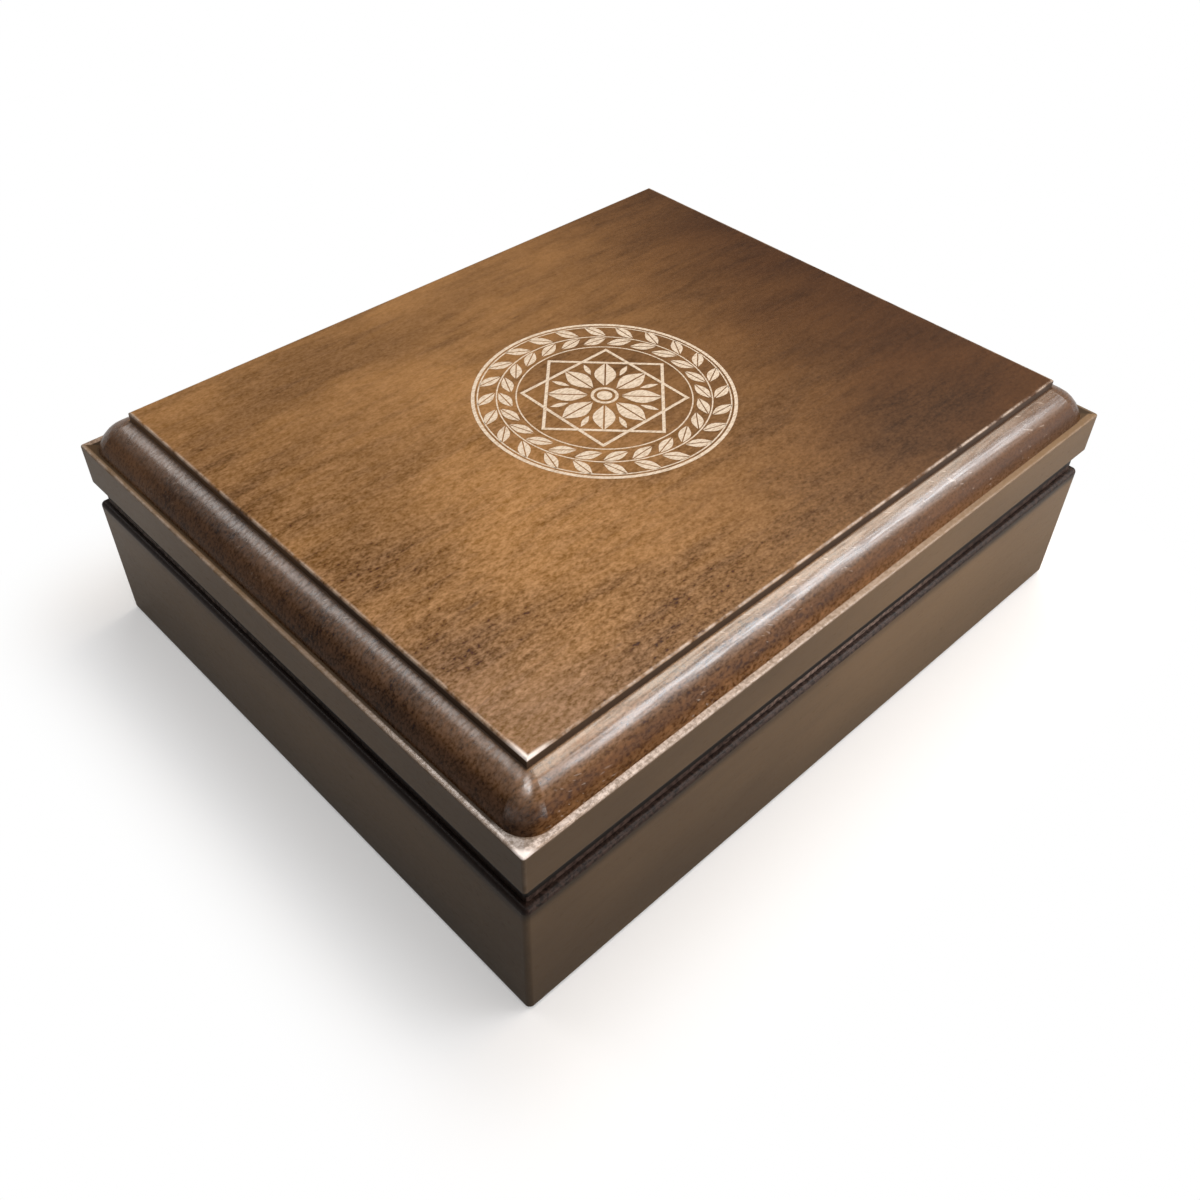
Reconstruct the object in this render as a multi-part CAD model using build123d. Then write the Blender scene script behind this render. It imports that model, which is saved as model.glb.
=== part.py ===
"""A hinged wooden presentation box with a moulded lid.

The base is four mitred boards round a bottom panel. Their top edge steps back to an upright neck, so a
dark reveal runs round the box under the lid. The lid is four mitred rails that carry a moulded panel:
a raised field, a small upright step and a broad round whose corners are turned soft. Two small
brass butt hinges sit in the reveal at the back, with their barrels flush with the back face.

Frame: millimetres, +Z up, origin under the middle of the box on the surface that it stands on.
The front faces -Y and the hinges are at +Y.
"""
import os

from build123d import *

# Overall box
BOX_W = 230.0
BOX_D = 190.0
WALL_T = 12.0

# Base boards, measured from the underside of the wood
BASE_H = 43.0
BASE_ROUND_R = 1.5
BASE_CHAMFER = 0.6
NECK_RECESS = 2.0
NECK_H = 7.0
NECK_CORNER_R = 1.0

# Bottom panel and the sheet of felt under it
BOTTOM_T = 4.0
REBATE_W = 6.0
FELT_T = 1.0
FELT_INSET = 1.5
FELT_CORNER_R = 3.0

# Lid rails
RIM_H = 13.5
RIM_CORNER_R = 0.8
RIM_TOP_R = 0.6
RIM_CHAMFER = 0.5

# Moulded lid panel
LEDGE_W = 2.0
MOULD_W = 9.8
MOULD_H = 9.0
MOULD_R = 12.7
MOULD_CORNER_R = 7.5
FIELD_STEP = 2.7
FIELD_ARRIS_R = 0.7
TONGUE_H = 2.0

# Padded linings
FLOOR_LINING_T = 2.5
LID_LINING_T = 2.0
LINING_EDGE_R = 1.0

# Butt hinges
HINGE_SPACING = 130.0
HINGE_L = 25.0
KNUCKLES = 3
BARREL_R = 1.6
PIN_R = 0.75
PIN_CHAMFER = 0.3
LEAF_T = 1.0
LEAF_GAP = 0.2
LEAF_MARGIN = 1.4
LEAF_CORNER_R = 1.0

# Countersunk screws
SCREW_SPACING = 15.0
SCREW_R = 1.0
SCREW_L = 9.0
SLOT_W = 0.4
SLOT_DEPTH = 0.35

# Clearances, and how far a cut runs past the wood
PANEL_CLEAR = 0.2
LINING_CLEAR = 0.4
PIN_CLEAR = 0.03
SCREW_CLEAR = 0.03
SCREW_END_CLEAR = 0.5
KNUCKLE_GAP = 0.15
BARREL_CLEAR = 0.25
MORTISE_CLEAR = 0.2
OVERRUN = 5.0

# Levels and places worked out from the sizes above
wood_z = FELT_T
shoulder_z = wood_z + BASE_H
parting_z = shoulder_z + NECK_H
ledge_z = parting_z + RIM_H
mould_top_z = ledge_z + MOULD_H
field_z = mould_top_z + FIELD_STEP
inner_w = BOX_W - 2 * WALL_T
inner_d = BOX_D - 2 * WALL_T
pin_y = BOX_D / 2 - BARREL_R
pin_z = parting_z
knuckle_pitch = HINGE_L / KNUCKLES
leaf_reach = pin_y - (inner_d / 2 + LEAF_MARGIN)
leaf_depth = LEAF_GAP / 2 + LEAF_T
screw_xs = (-SCREW_SPACING / 2, SCREW_SPACING / 2)
screw_y = -(leaf_reach + BARREL_R + BARREL_CLEAR) / 2
screw_z = -LEAF_GAP / 2
screw_head_r = SCREW_R + LEAF_T


def block(width, depth, low_z, high_z):
    """A block centred on the box, between two levels."""
    height = high_z - low_z
    return Pos(0, 0, low_z + height / 2) * Box(width, depth, height)


def round_uprights(solid, radius):
    """Round the four upright edges of a block."""
    return fillet(solid.edges().filter_by(Axis.Z), radius)


def rim_edges(solid, end):
    """The edges round the top or the bottom face of a block."""
    face = solid.faces().sort_by(Axis.Z)[-1 if end == "top" else 0]
    return face.edges()


def round_corners_and_top(solid, radius):
    """Round the upright edges and the top rim alike, so that the corners turn as parts of a ball."""
    return fillet(solid.edges().filter_by(Axis.Z) + rim_edges(solid, "top"), radius)


def mitre_wedges():
    """Four upright wedges that meet on the mitre lines of the corners."""
    out_w = BOX_W / 2 + OVERRUN
    out_d = BOX_D / 2 + OVERRUN
    in_w = BOX_W / 2 - WALL_T - OVERRUN
    in_d = BOX_D / 2 - WALL_T - OVERRUN
    outlines = {
        "front": [(-out_w, -out_d), (out_w, -out_d), (in_w, -in_d), (-in_w, -in_d)],
        "right": [(out_w, -out_d), (out_w, out_d), (in_w, in_d), (in_w, -in_d)],
        "back": [(out_w, out_d), (-out_w, out_d), (-in_w, in_d), (in_w, in_d)],
        "left": [(-out_w, out_d), (-out_w, -out_d), (-in_w, -in_d), (-in_w, in_d)],
    }
    wedges = {}
    for side, points in outlines.items():
        wedges[side] = extrude(make_face(Polyline(points, close=True)), field_z)
    return wedges


def base_ring():
    """The four base boards as one ring: rounded shoulder, neck, hollow and rebate for the bottom."""
    body = block(BOX_W, BOX_D, wood_z, shoulder_z)
    body = round_corners_and_top(body, BASE_ROUND_R)
    body = chamfer(rim_edges(body, "bottom"), BASE_CHAMFER)
    neck = block(BOX_W - 2 * NECK_RECESS, BOX_D - 2 * NECK_RECESS, wood_z + BOTTOM_T, parting_z)
    neck = round_uprights(neck, NECK_CORNER_R)
    hollow = block(inner_w, inner_d, 0, parting_z + OVERRUN)
    rebate = block(BOX_W - 2 * REBATE_W, BOX_D - 2 * REBATE_W, 0, wood_z + BOTTOM_T)
    return body + neck - hollow - rebate


def lid_ring():
    """The four lid rails as one ring, with softened corners and arrises."""
    ring = round_uprights(block(BOX_W, BOX_D, parting_z, ledge_z), RIM_CORNER_R)
    ring = fillet(rim_edges(ring, "top"), RIM_TOP_R)
    ring = chamfer(rim_edges(ring, "bottom"), RIM_CHAMFER)
    return ring - block(inner_w, inner_d, parting_z - OVERRUN, ledge_z + OVERRUN)


def mould_outline(span):
    """The moulding's outline across the box: an arc up from each ledge, and level between them."""
    foot = span / 2 - LEDGE_W
    edge = foot - MOULD_W
    rise = RadiusArc((-foot, ledge_z), (-edge, mould_top_z), MOULD_R)
    level = Line((-edge, mould_top_z), (edge, mould_top_z))
    fall = RadiusArc((edge, mould_top_z), (foot, ledge_z), MOULD_R)
    bed = Line((foot, ledge_z), (-foot, ledge_z))
    return make_face(rise + level + fall + bed)


def lid_moulding():
    """The rounds of all four sides, mitred by crossing two bars, with the mitres turned soft."""
    along_x = extrude(Plane.YZ * mould_outline(BOX_D), BOX_W / 2, both=True)
    along_y = extrude(Plane.XZ * mould_outline(BOX_W), BOX_D / 2, both=True)
    crossed = along_x & along_y
    mitres = crossed.edges().filter_by(GeomType.LINE, reverse=True)
    return fillet(mitres, MOULD_CORNER_R)


def lid_top_panel():
    """The moulded panel: tongue, rounds with turned corners, step and raised field."""
    inset = LEDGE_W + MOULD_W
    field = block(BOX_W - 2 * inset, BOX_D - 2 * inset, ledge_z, field_z)
    field = fillet(rim_edges(field, "top"), FIELD_ARRIS_R)
    tongue_w = inner_w - 2 * PANEL_CLEAR
    tongue_d = inner_d - 2 * PANEL_CLEAR
    tongue = block(tongue_w, tongue_d, ledge_z - TONGUE_H, mould_top_z)
    return lid_moulding() + field + tongue


def lining(low_z, high_z, soft_side):
    """A padded liner that fills the hollow from wall to wall, softened on the side that shows."""
    pad = block(inner_w - 2 * LINING_CLEAR, inner_d - 2 * LINING_CLEAR, low_z, high_z)
    return fillet(rim_edges(pad, soft_side), LINING_EDGE_R)


def rod(radius, x_from, x_to):
    """A round bar along X on the hinge line, in the hinge's own frame."""
    length = x_to - x_from
    return Pos((x_from + x_to) / 2, 0, 0) * Rot(0, 90, 0) * Cylinder(radius, length)


def screw_form(grow, length):
    """Turned form of a screw or of its hole: a countersunk head up at z 0, a plain shank below."""
    outline = Polyline(
        (0, 0),
        (screw_head_r + grow, 0),
        (SCREW_R + grow, -LEAF_T),
        (SCREW_R + grow, -length),
        (0, -length),
        close=True,
    )
    return revolve(Plane.XZ * make_face(outline), Axis.Z)


def screw():
    """A countersunk wood screw with a slotted head, its head's top at z 0."""
    slot = Pos(0, 0, -SLOT_DEPTH / 2) * Box(3 * screw_head_r, SLOT_W, SLOT_DEPTH)
    return screw_form(0, SCREW_L) - slot


def screw_hole():
    """The hole that a screw fills, in a leaf and in the wood under it."""
    return screw_form(SCREW_CLEAR, SCREW_L + SCREW_END_CLEAR)


def lower_leaf(own):
    """One leaf below the parting plane, about the hinge line. The set own holds its knuckles' numbers."""
    plate_mid_y = -leaf_reach / 2
    plate_mid_z = -(LEAF_GAP + LEAF_T) / 2
    plate = Pos(0, plate_mid_y, plate_mid_z) * Box(HINGE_L, leaf_reach, LEAF_T)
    plate = fillet(plate.edges().filter_by(Axis.Z).group_by(Axis.Y)[0], LEAF_CORNER_R)
    for number in range(KNUCKLES):
        start = -HINGE_L / 2 + number * knuckle_pitch
        end = start + knuckle_pitch
        if number in own:
            gap_start = KNUCKLE_GAP if number > 0 else 0
            gap_end = KNUCKLE_GAP if number < KNUCKLES - 1 else 0
            plate = plate + rod(BARREL_R, start + gap_start / 2, end - gap_end / 2)
        else:
            width = knuckle_pitch + KNUCKLE_GAP
            notch = Box(width, 2 * (BARREL_R + BARREL_CLEAR), 4 * LEAF_T)
            plate = plate - Pos((start + end) / 2, 0, 0) * notch
    plate = plate - rod(PIN_R + PIN_CLEAR, -HINGE_L, HINGE_L)
    for x in screw_xs:
        plate = plate - Pos(x, screw_y, screw_z) * screw_hole()
    return plate


def hinge_pin():
    """The pin through the knuckles, with both ends chamfered where they stand proud."""
    half = HINGE_L / 2 + PIN_CHAMFER
    pin = rod(PIN_R, -half, half)
    return chamfer(pin.edges().filter_by(GeomType.CIRCLE), PIN_CHAMFER)


def lower_mortise():
    """What one leaf, half the barrel and two screws take out of the wood below the parting plane."""
    width = HINGE_L + 2 * MORTISE_CLEAR
    reach = leaf_reach + MORTISE_CLEAR
    seat = Pos(0, (OVERRUN - reach) / 2, 0) * Box(width, OVERRUN + reach, 2 * leaf_depth)
    barrel_half = BARREL_R + BARREL_CLEAR
    barrel_w = width + 2 * PIN_CHAMFER
    notch = Box(barrel_w, OVERRUN + barrel_half, 2 * barrel_half)
    cut = seat + Pos(0, (OVERRUN - barrel_half) / 2, 0) * notch
    for x in screw_xs:
        cut = cut + Pos(x, screw_y, screw_z) * screw_hole()
    return cut


def upper(solid):
    """The same form above the parting plane."""
    return mirror(solid, about=Plane.XY)


def build():
    """Every piece of the box, by the name of its node."""
    pieces = {}
    wedges = mitre_wedges()
    base = base_ring()
    lid = lid_ring()
    for side, wedge in wedges.items():
        pieces[f"base_{side}_board"] = base & wedge
        pieces[f"lid_{side}_rail"] = lid & wedge

    bottom_w = BOX_W - 2 * REBATE_W - 2 * PANEL_CLEAR
    bottom_d = BOX_D - 2 * REBATE_W - 2 * PANEL_CLEAR
    floor_z = wood_z + BOTTOM_T
    pieces["base_bottom_panel"] = block(bottom_w, bottom_d, wood_z, floor_z)
    pieces["base_floor_lining"] = lining(floor_z, floor_z + FLOOR_LINING_T, "top")
    felt = block(BOX_W - 2 * FELT_INSET, BOX_D - 2 * FELT_INSET, 0, FELT_T)
    pieces["underside_felt"] = round_uprights(felt, FELT_CORNER_R)

    pieces["lid_top_panel"] = lid_top_panel()
    ceiling_z = ledge_z - TONGUE_H
    pieces["lid_lining_pad"] = lining(ceiling_z - LID_LINING_T, ceiling_z, "bottom")

    base_knuckles = set(range(0, KNUCKLES, 2))
    lid_knuckles = set(range(1, KNUCKLES, 2))
    base_screws = []
    lid_screws = []
    for side, x in (("left", -HINGE_SPACING / 2), ("right", HINGE_SPACING / 2)):
        place = Pos(x, pin_y, pin_z)
        pieces[f"hinge_{side}_base_leaf"] = place * lower_leaf(base_knuckles)
        pieces[f"hinge_{side}_lid_leaf"] = place * upper(lower_leaf(lid_knuckles))
        pieces[f"hinge_{side}_pin"] = place * hinge_pin()
        pieces["base_back_board"] = pieces["base_back_board"] - place * lower_mortise()
        pieces["lid_back_rail"] = pieces["lid_back_rail"] - place * upper(lower_mortise())
        for screw_x in screw_xs:
            seated = Pos(screw_x, screw_y, screw_z) * screw()
            base_screws.append(place * seated)
            lid_screws.append(place * upper(seated))
    pieces["base_leaf_screws"] = Compound(children=base_screws)
    pieces["lid_leaf_screws"] = Compound(children=lid_screws)
    return pieces


os.makedirs("parts", exist_ok=True)
for name, piece in build().items():
    export_step(piece, f"parts/{name}.step")
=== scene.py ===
"""Finishes for a hinged wooden presentation box.

The box's wood, linings and hinges come from the frame. This script stains and lacquers the wood, with
some painted shade and highlights, lays the inlay on the lid, covers the linings in velvet and lights
the box on a pale floor.
Everything is in metres, with X along the front, the front at -Y and Z up. The near corner is the
one at -X and -Y, towards the camera.
"""

import math

import bmesh
import bpy
from mathutils import Matrix, Vector


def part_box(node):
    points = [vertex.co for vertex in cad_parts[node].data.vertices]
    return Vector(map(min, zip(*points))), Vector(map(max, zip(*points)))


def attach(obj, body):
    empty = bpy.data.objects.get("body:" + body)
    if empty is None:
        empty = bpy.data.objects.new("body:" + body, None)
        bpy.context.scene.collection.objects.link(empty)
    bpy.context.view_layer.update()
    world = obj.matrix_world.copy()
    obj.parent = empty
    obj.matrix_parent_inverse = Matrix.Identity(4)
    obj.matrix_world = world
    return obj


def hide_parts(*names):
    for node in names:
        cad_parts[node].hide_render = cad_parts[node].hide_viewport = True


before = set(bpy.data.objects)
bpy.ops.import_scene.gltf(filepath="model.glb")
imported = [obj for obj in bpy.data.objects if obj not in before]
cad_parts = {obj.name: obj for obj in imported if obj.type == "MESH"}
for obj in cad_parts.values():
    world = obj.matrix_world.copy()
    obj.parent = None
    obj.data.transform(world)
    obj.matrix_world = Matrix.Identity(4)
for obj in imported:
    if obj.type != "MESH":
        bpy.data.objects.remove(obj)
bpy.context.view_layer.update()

MM = 0.001

# How far the field stands in from the lid's edge, and the height of the neck
FIELD_INSET = 11.8 * MM
NECK_H = 7.0 * MM

# Levels and outlines that the finishes follow, read from the frame
FIELD_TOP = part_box("lid_top_panel")[1].z
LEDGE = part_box("lid_front_rail")[1].z
LID_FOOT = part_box("lid_front_rail")[0].z
LID_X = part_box("lid_front_rail")[1].x
LID_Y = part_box("lid_back_rail")[1].y
FIELD_X = LID_X - FIELD_INSET
FIELD_Y = LID_Y - FIELD_INSET
BASE_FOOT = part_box("base_front_board")[0].z
NECK_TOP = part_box("base_front_board")[1].z
SHOULDER = NECK_TOP - NECK_H

# X + Y at the near corner of the lid, and of the field on it
LID_NEAR = -LID_X - LID_Y
FIELD_NEAR = -FIELD_X - FIELD_Y

# How the grain is turned in boards along the front, and in boards along the sides
ALONG_X = 0.0
ALONG_Y = math.radians(90)

# The stains of the lid's rails and of the base's boards
RIM_LIGHT = (0.200, 0.125, 0.062, 1.0)
RIM_DARK = (0.138, 0.086, 0.043, 1.0)
SIDE_LIGHT = (0.212, 0.133, 0.066, 1.0)
SIDE_DARK = (0.144, 0.090, 0.045, 1.0)

# The round inlay on the lid, and its parts from the rim inward
INLAY_HEIGHT = 0.04 * MM
INLAY_ROOT = 0.02 * MM
INLAY_RADIUS = 38.0 * MM
WREATH_RADIUS = 30.8 * MM
INNER_RING_RADIUS = 25.4 * MM
STAR_RADIUS = 24.2 * MM
STAR_WIDTH = 0.9 * MM
PETAL_LENGTH = 12.0 * MM
FINE_LINE = 0.4 * MM

# The padded linings
PAD_EDGE = 1.1 * MM
PAD_SINK = 0.35 * MM
PAD_SPACING = 4.0 * MM

# The felt under the base
FELT_CORNER = 3.0 * MM

# The camera, fitted to the corners of the box
CAMERA_AT = Vector((-0.2033, -0.2033, 0.2750))
CAMERA_AIM = Vector((-0.0327, -0.0330, 0.0400))
CAMERA_ROLL = math.radians(1.55)
FOCAL_LENGTH = 36.26

# How far the floor reaches from the middle, and how far round the box it keeps its shadow
FLOOR_REACH = 3.0
SHADOW_REACH = 0.05

# The strength of the even light all round
WORLD_LEVEL = 0.14

# The rise of a direction, as its sine, where the white backdrop ends and the ceiling begins
BACKDROP_RISE = 0.20
CEILING_RISE = 0.42

# How much of the white shows in polished surfaces, from the backdrop and from the ceiling
BACKDROP_SHARE = 0.35
CEILING_SHARE = 0.1


# Small helpers for node trees

def add(tree, kind, inputs=None, **settings):
    """A new shader node with its settings, and each input either set or linked."""
    node = tree.nodes.new("ShaderNode" + kind)
    for name, value in settings.items():
        setattr(node, name, value)
    for name, value in (inputs or {}).items():
        join(tree, value, node.inputs[name])
    return node


def join(tree, value, socket):
    """Links a socket to this one, or sets this one to a plain value."""
    if isinstance(value, bpy.types.NodeSocket):
        tree.links.new(value, socket)
    else:
        socket.default_value = value


def maths(tree, operation, *values, clamp=False):
    """One step of arithmetic."""
    node = add(tree, "Math", operation=operation, use_clamp=clamp)
    for index, value in enumerate(values):
        join(tree, value, node.inputs[index])
    return node.outputs[0]


def times(tree, first, *others):
    """A product, which for masks is where all of them hold."""
    product = first
    for other in others:
        product = maths(tree, "MULTIPLY", product, other)
    return product


def less(tree, mask):
    """The reverse of a mask."""
    return maths(tree, "SUBTRACT", 1.0, mask)


def size_of(tree, value):
    """A value without its sign."""
    return maths(tree, "ABSOLUTE", value)


def hypotenuse(tree, first, second):
    """The straight distance of a point that lies this far off in two directions."""
    squares = maths(tree, "ADD", times(tree, first, first), times(tree, second, second))
    return maths(tree, "SQRT", squares)


def ramp(tree, value, start, end, low=0.0, high=1.0):
    """A smooth step from low at start to high at end."""
    node = add(tree, "MapRange", interpolation_type="SMOOTHSTEP")
    for name, number in zip(("Value", "From Min", "From Max", "To Min", "To Max"),
                            (value, start, end, low, high)):
        join(tree, number, node.inputs[name])
    return node.outputs["Result"]


def blend(tree, factor, first, second, how="MIX"):
    """Two colours mixed by a factor."""
    node = add(tree, "Mix", data_type="RGBA", blend_type=how)
    join(tree, factor, node.inputs[0])
    join(tree, first, node.inputs[6])
    join(tree, second, node.inputs[7])
    return node.outputs[2]


def tinted(tree, mask, colour, tint):
    """A colour that is multiplied by a tint where a mask holds."""
    return blend(tree, mask, colour, tint, "MULTIPLY")


def split(tree, vector):
    """The X, Y and Z of a vector, by name."""
    return add(tree, "SeparateXYZ", {"Vector": vector}).outputs


def stretched(tree, vector, scale, turn=0.0):
    """Coordinates turned about Z and scaled, so that a pattern can run along the grain."""
    node = add(tree, "Mapping", {"Vector": vector, "Scale": scale, "Rotation": (0.0, 0.0, turn)})
    return node.outputs["Vector"]


def swayed(tree, vector, sway, reach):
    """Coordinates pushed along Y, so that lines along X aren't quite straight."""
    push = add(tree, "CombineXYZ", {"Y": times(tree, sway, reach)}).outputs[0]
    return add(tree, "VectorMath", {0: vector, 1: push}, operation="ADD").outputs[0]


def noise(tree, vector, size, detail=2.0, roughness=0.5):
    """Noise whose blotches are about this many metres across."""
    node = add(tree, "TexNoise", {"Vector": vector, "Scale": 1.0 / size, "Detail": detail,
                                  "Roughness": roughness})
    return node.outputs["Fac"]


def bump(tree, height, depth, strength=1.0):
    """A normal that follows a height, with this depth between its extremes."""
    node = add(tree, "Bump", {"Height": height, "Distance": depth, "Strength": strength})
    return node.outputs["Normal"]


def object_place(tree):
    """The place on the object itself, so that a finish moves with its piece."""
    return add(tree, "TexCoord").outputs["Object"]


def object_normal(tree):
    """The direction that the surface faces in the object's own frame, by X, Y and Z."""
    return split(tree, add(tree, "TexCoord").outputs["Normal"])


def group(name, inputs, outputs):
    """A node group, with its tree's input sockets and output sockets."""
    tree = bpy.data.node_groups.new(name, "ShaderNodeTree")
    for label, kind, value in inputs:
        socket = tree.interface.new_socket(label, in_out="INPUT", socket_type="NodeSocket" + kind)
        if value is not None:
            socket.default_value = value
    for label, kind in outputs:
        tree.interface.new_socket(label, in_out="OUTPUT", socket_type="NodeSocket" + kind)
    entry = tree.nodes.new("NodeGroupInput").outputs
    exit_ = tree.nodes.new("NodeGroupOutput").inputs
    return tree, entry, exit_


def use(tree, effect, **inputs):
    """An effect's node group placed in a material, with this material's values."""
    node = tree.nodes.new("ShaderNodeGroup")
    node.node_tree = effect
    for name, value in inputs.items():
        join(tree, value, node.inputs[name.replace("_", " ")])
    return node.outputs


def surface(name, **plain):
    """A material with a Principled shader, whose even values are set on its own sockets."""
    material = bpy.data.materials.new(name)
    material.use_nodes = True
    tree = material.node_tree
    shader = tree.nodes["Principled BSDF"]
    for label, value in plain.items():
        shader.inputs[label.replace("_", " ")].default_value = value
    return material, tree, shader.inputs


# Effects that several finishes share

def make_wood_figure():
    """Stained wood with its grain along X: cloudy stain, streaks, flecks and pores."""
    tree, given, out = group(
        "wood_figure",
        [("Vector", "Vector", None), ("Light", "Color", None), ("Dark", "Color", None),
         ("Pore", "Color", None), ("Cloud", "Float", 1.0), ("Streak", "Float", 1.0),
         ("Glint", "Color", (1.0, 0.62, 0.35, 1.0)), ("Fleck", "Float", 0.05),
         ("Pores", "Float", 0.5), ("Smudge", "Float", 0.0)],
        [("Color", "Color"), ("Uneven", "Float"), ("Height", "Float")])
    place = given["Vector"]
    waver = noise(tree, stretched(tree, place, (0.35, 1.0, 1.0)), 55 * MM)
    wavy = swayed(tree, place, waver, 6 * MM)

    cloud = ramp(tree, noise(tree, stretched(tree, wavy, (0.5, 1.0, 1.0)), 38 * MM, 3.0, 0.55),
                 0.32, 0.68)
    streak = ramp(tree, noise(tree, stretched(tree, wavy, (0.15, 1.0, 1.0)), 3.4 * MM, 4.0, 0.6),
                  0.42, 0.72)
    fine = noise(tree, stretched(tree, wavy, (0.65, 1.0, 1.0)), 0.75 * MM, 1.0, 0.6)
    coarse = noise(tree, stretched(tree, wavy, (0.30, 1.0, 1.0)), 1.8 * MM, 2.0, 0.6)
    fleck = maths(tree, "ADD", times(tree, fine, 0.65), times(tree, coarse, 0.35))
    pore = ramp(tree, noise(tree, stretched(tree, wavy, (0.13, 1.0, 1.0)), 0.32 * MM, 1.0, 0.5),
                0.64, 0.74)
    smudge = ramp(tree, noise(tree, stretched(tree, wavy, (0.30, 1.0, 1.0)), 4.5 * MM, 2.0, 0.6),
                  0.69, 0.80)

    tone = times(tree, maths(tree, "SUBTRACT", cloud, 0.5), given["Cloud"])
    tone = maths(tree, "SUBTRACT", tone, times(tree, streak, given["Streak"]))
    tone = maths(tree, "ADD", tone, 0.58, clamp=True)
    colour = blend(tree, tone, given["Dark"], given["Light"])
    grit = times(tree, maths(tree, "SUBTRACT", fleck, 0.5), given["Fleck"])
    flecked = add(tree, "VectorMath", {0: given["Glint"], 1: grit, 2: colour},
                  operation="MULTIPLY_ADD").outputs[0]
    colour = add(tree, "VectorMath", {0: flecked, 1: given["Pore"]}, operation="MAXIMUM").outputs[0]
    dark = maths(tree, "MAXIMUM", times(tree, pore, given["Pores"]),
                 times(tree, smudge, given["Smudge"]))
    join(tree, blend(tree, dark, colour, given["Pore"]), out["Color"])

    uneven = maths(tree, "ADD", ramp(tree, fleck, 0.3, 0.7, -0.03, 0.03), times(tree, pore, 0.12))
    join(tree, uneven, out["Uneven"])
    join(tree, maths(tree, "SUBTRACT", times(tree, fleck, 0.5), pore), out["Height"])
    return tree


def make_arris_wear_and_sheen():
    """Where the arris is paler, as wear and, on the lid, as a painted highlight: along a level
    rectangle and down its upright corners.
    """
    tree, given, out = group(
        "arris_wear_and_sheen",
        [("Vector", "Vector", None), ("Half X", "Float", 0.1), ("Half Y", "Float", 0.1),
         ("Level", "Float", 0.0), ("Foot", "Float", 0.0), ("Top", "Float", 0.0),
         ("Reach", "Float", 0.001)],
        [("Mask", "Float")])
    axis = split(tree, given["Vector"])
    past_x = maths(tree, "SUBTRACT", size_of(tree, axis["X"]), given["Half X"])
    past_y = maths(tree, "SUBTRACT", size_of(tree, axis["Y"]), given["Half Y"])
    side = maths(tree, "MAXIMUM", past_x, past_y)
    rise = maths(tree, "SUBTRACT", axis["Z"], given["Level"])

    def close(first, second):
        away = hypotenuse(tree, first, second)
        return ramp(tree, maths(tree, "DIVIDE", away, given["Reach"]), 1.0, 0.15)

    over_foot = maths(tree, "GREATER_THAN", axis["Z"], given["Foot"])
    under_top = maths(tree, "LESS_THAN", axis["Z"], given["Top"])
    upright = times(tree, close(past_x, past_y), over_foot, under_top)
    paler = maths(tree, "MAXIMUM", close(side, rise), times(tree, upright, 0.6))
    broken = ramp(tree, noise(tree, given["Vector"], 5 * MM, 4.0, 0.7), 0.34, 0.62)
    join(tree, times(tree, paler, broken), out["Mask"])
    return tree


def make_scuffs():
    """A few fine scratches that cross the grain, in patches."""
    tree, given, out = group("scuffs", [("Vector", "Vector", None), ("Turn", "Float", 0.0)],
                             [("Mask", "Float")])
    turned = add(tree, "VectorRotate", {"Vector": given["Vector"], "Angle": given["Turn"]},
                 rotation_type="Z_AXIS").outputs["Vector"]
    bent = swayed(tree, turned, noise(tree, turned, 25 * MM), 12 * MM)
    lines = noise(tree, stretched(tree, bent, (0.03, 1.0, 1.0)), 0.8 * MM, 1.0, 0.5)
    patch = ramp(tree, noise(tree, given["Vector"], 22 * MM, 2.0, 0.5), 0.45, 0.60)
    join(tree, times(tree, ramp(tree, lines, 0.66, 0.74), patch), out["Mask"])
    return tree


def make_pile():
    """The nap of velvet or felt: patches that lie one way or the other, and its fibres."""
    tree, given, out = group(
        "pile",
        [("Vector", "Vector", None), ("Dark", "Color", None), ("Light", "Color", None),
         ("Fibre", "Float", 0.0004)],
        [("Color", "Color"), ("Height", "Float")])
    patch = noise(tree, given["Vector"], 30 * MM, 3.0, 0.6)
    fine = add(tree, "TexNoise", {"Vector": given["Vector"], "Detail": 3.0, "Roughness": 0.7,
                                  "Scale": maths(tree, "DIVIDE", 1.0, given["Fibre"])})
    fibres = fine.outputs["Fac"]
    tone = maths(tree, "ADD", ramp(tree, patch, 0.35, 0.65, 0.0, 0.5), times(tree, fibres, 0.5),
                 clamp=True)
    join(tree, blend(tree, tone, given["Dark"], given["Light"]), out["Color"])
    join(tree, fibres, out["Height"])
    return tree


# Masks that several finishes share

def past_edge(tree, axis, half_x, half_y):
    """How far outside a level rectangle about the origin a point lies."""
    return maths(tree, "MAXIMUM", maths(tree, "SUBTRACT", size_of(tree, axis["X"]), half_x),
                 maths(tree, "SUBTRACT", size_of(tree, axis["Y"]), half_y))


def near_corner(tree, axis, corner, start, end, high=1.0):
    """A mask that grows towards the near corner, between two values of X + Y past the corner's."""
    inward = maths(tree, "ADD", axis["X"], axis["Y"])
    return ramp(tree, inward, corner + start, corner + end, 0.0, high)


def drifting(tree, place, along, size, reach):
    """A coordinate that wanders, so that a change of tone along it has no straight edge."""
    drift = noise(tree, stretched(tree, place, (0.4, 1.0, 1.0)), size)
    return maths(tree, "ADD", along, times(tree, drift, reach))


# The finish of the lid's moulded board

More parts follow.
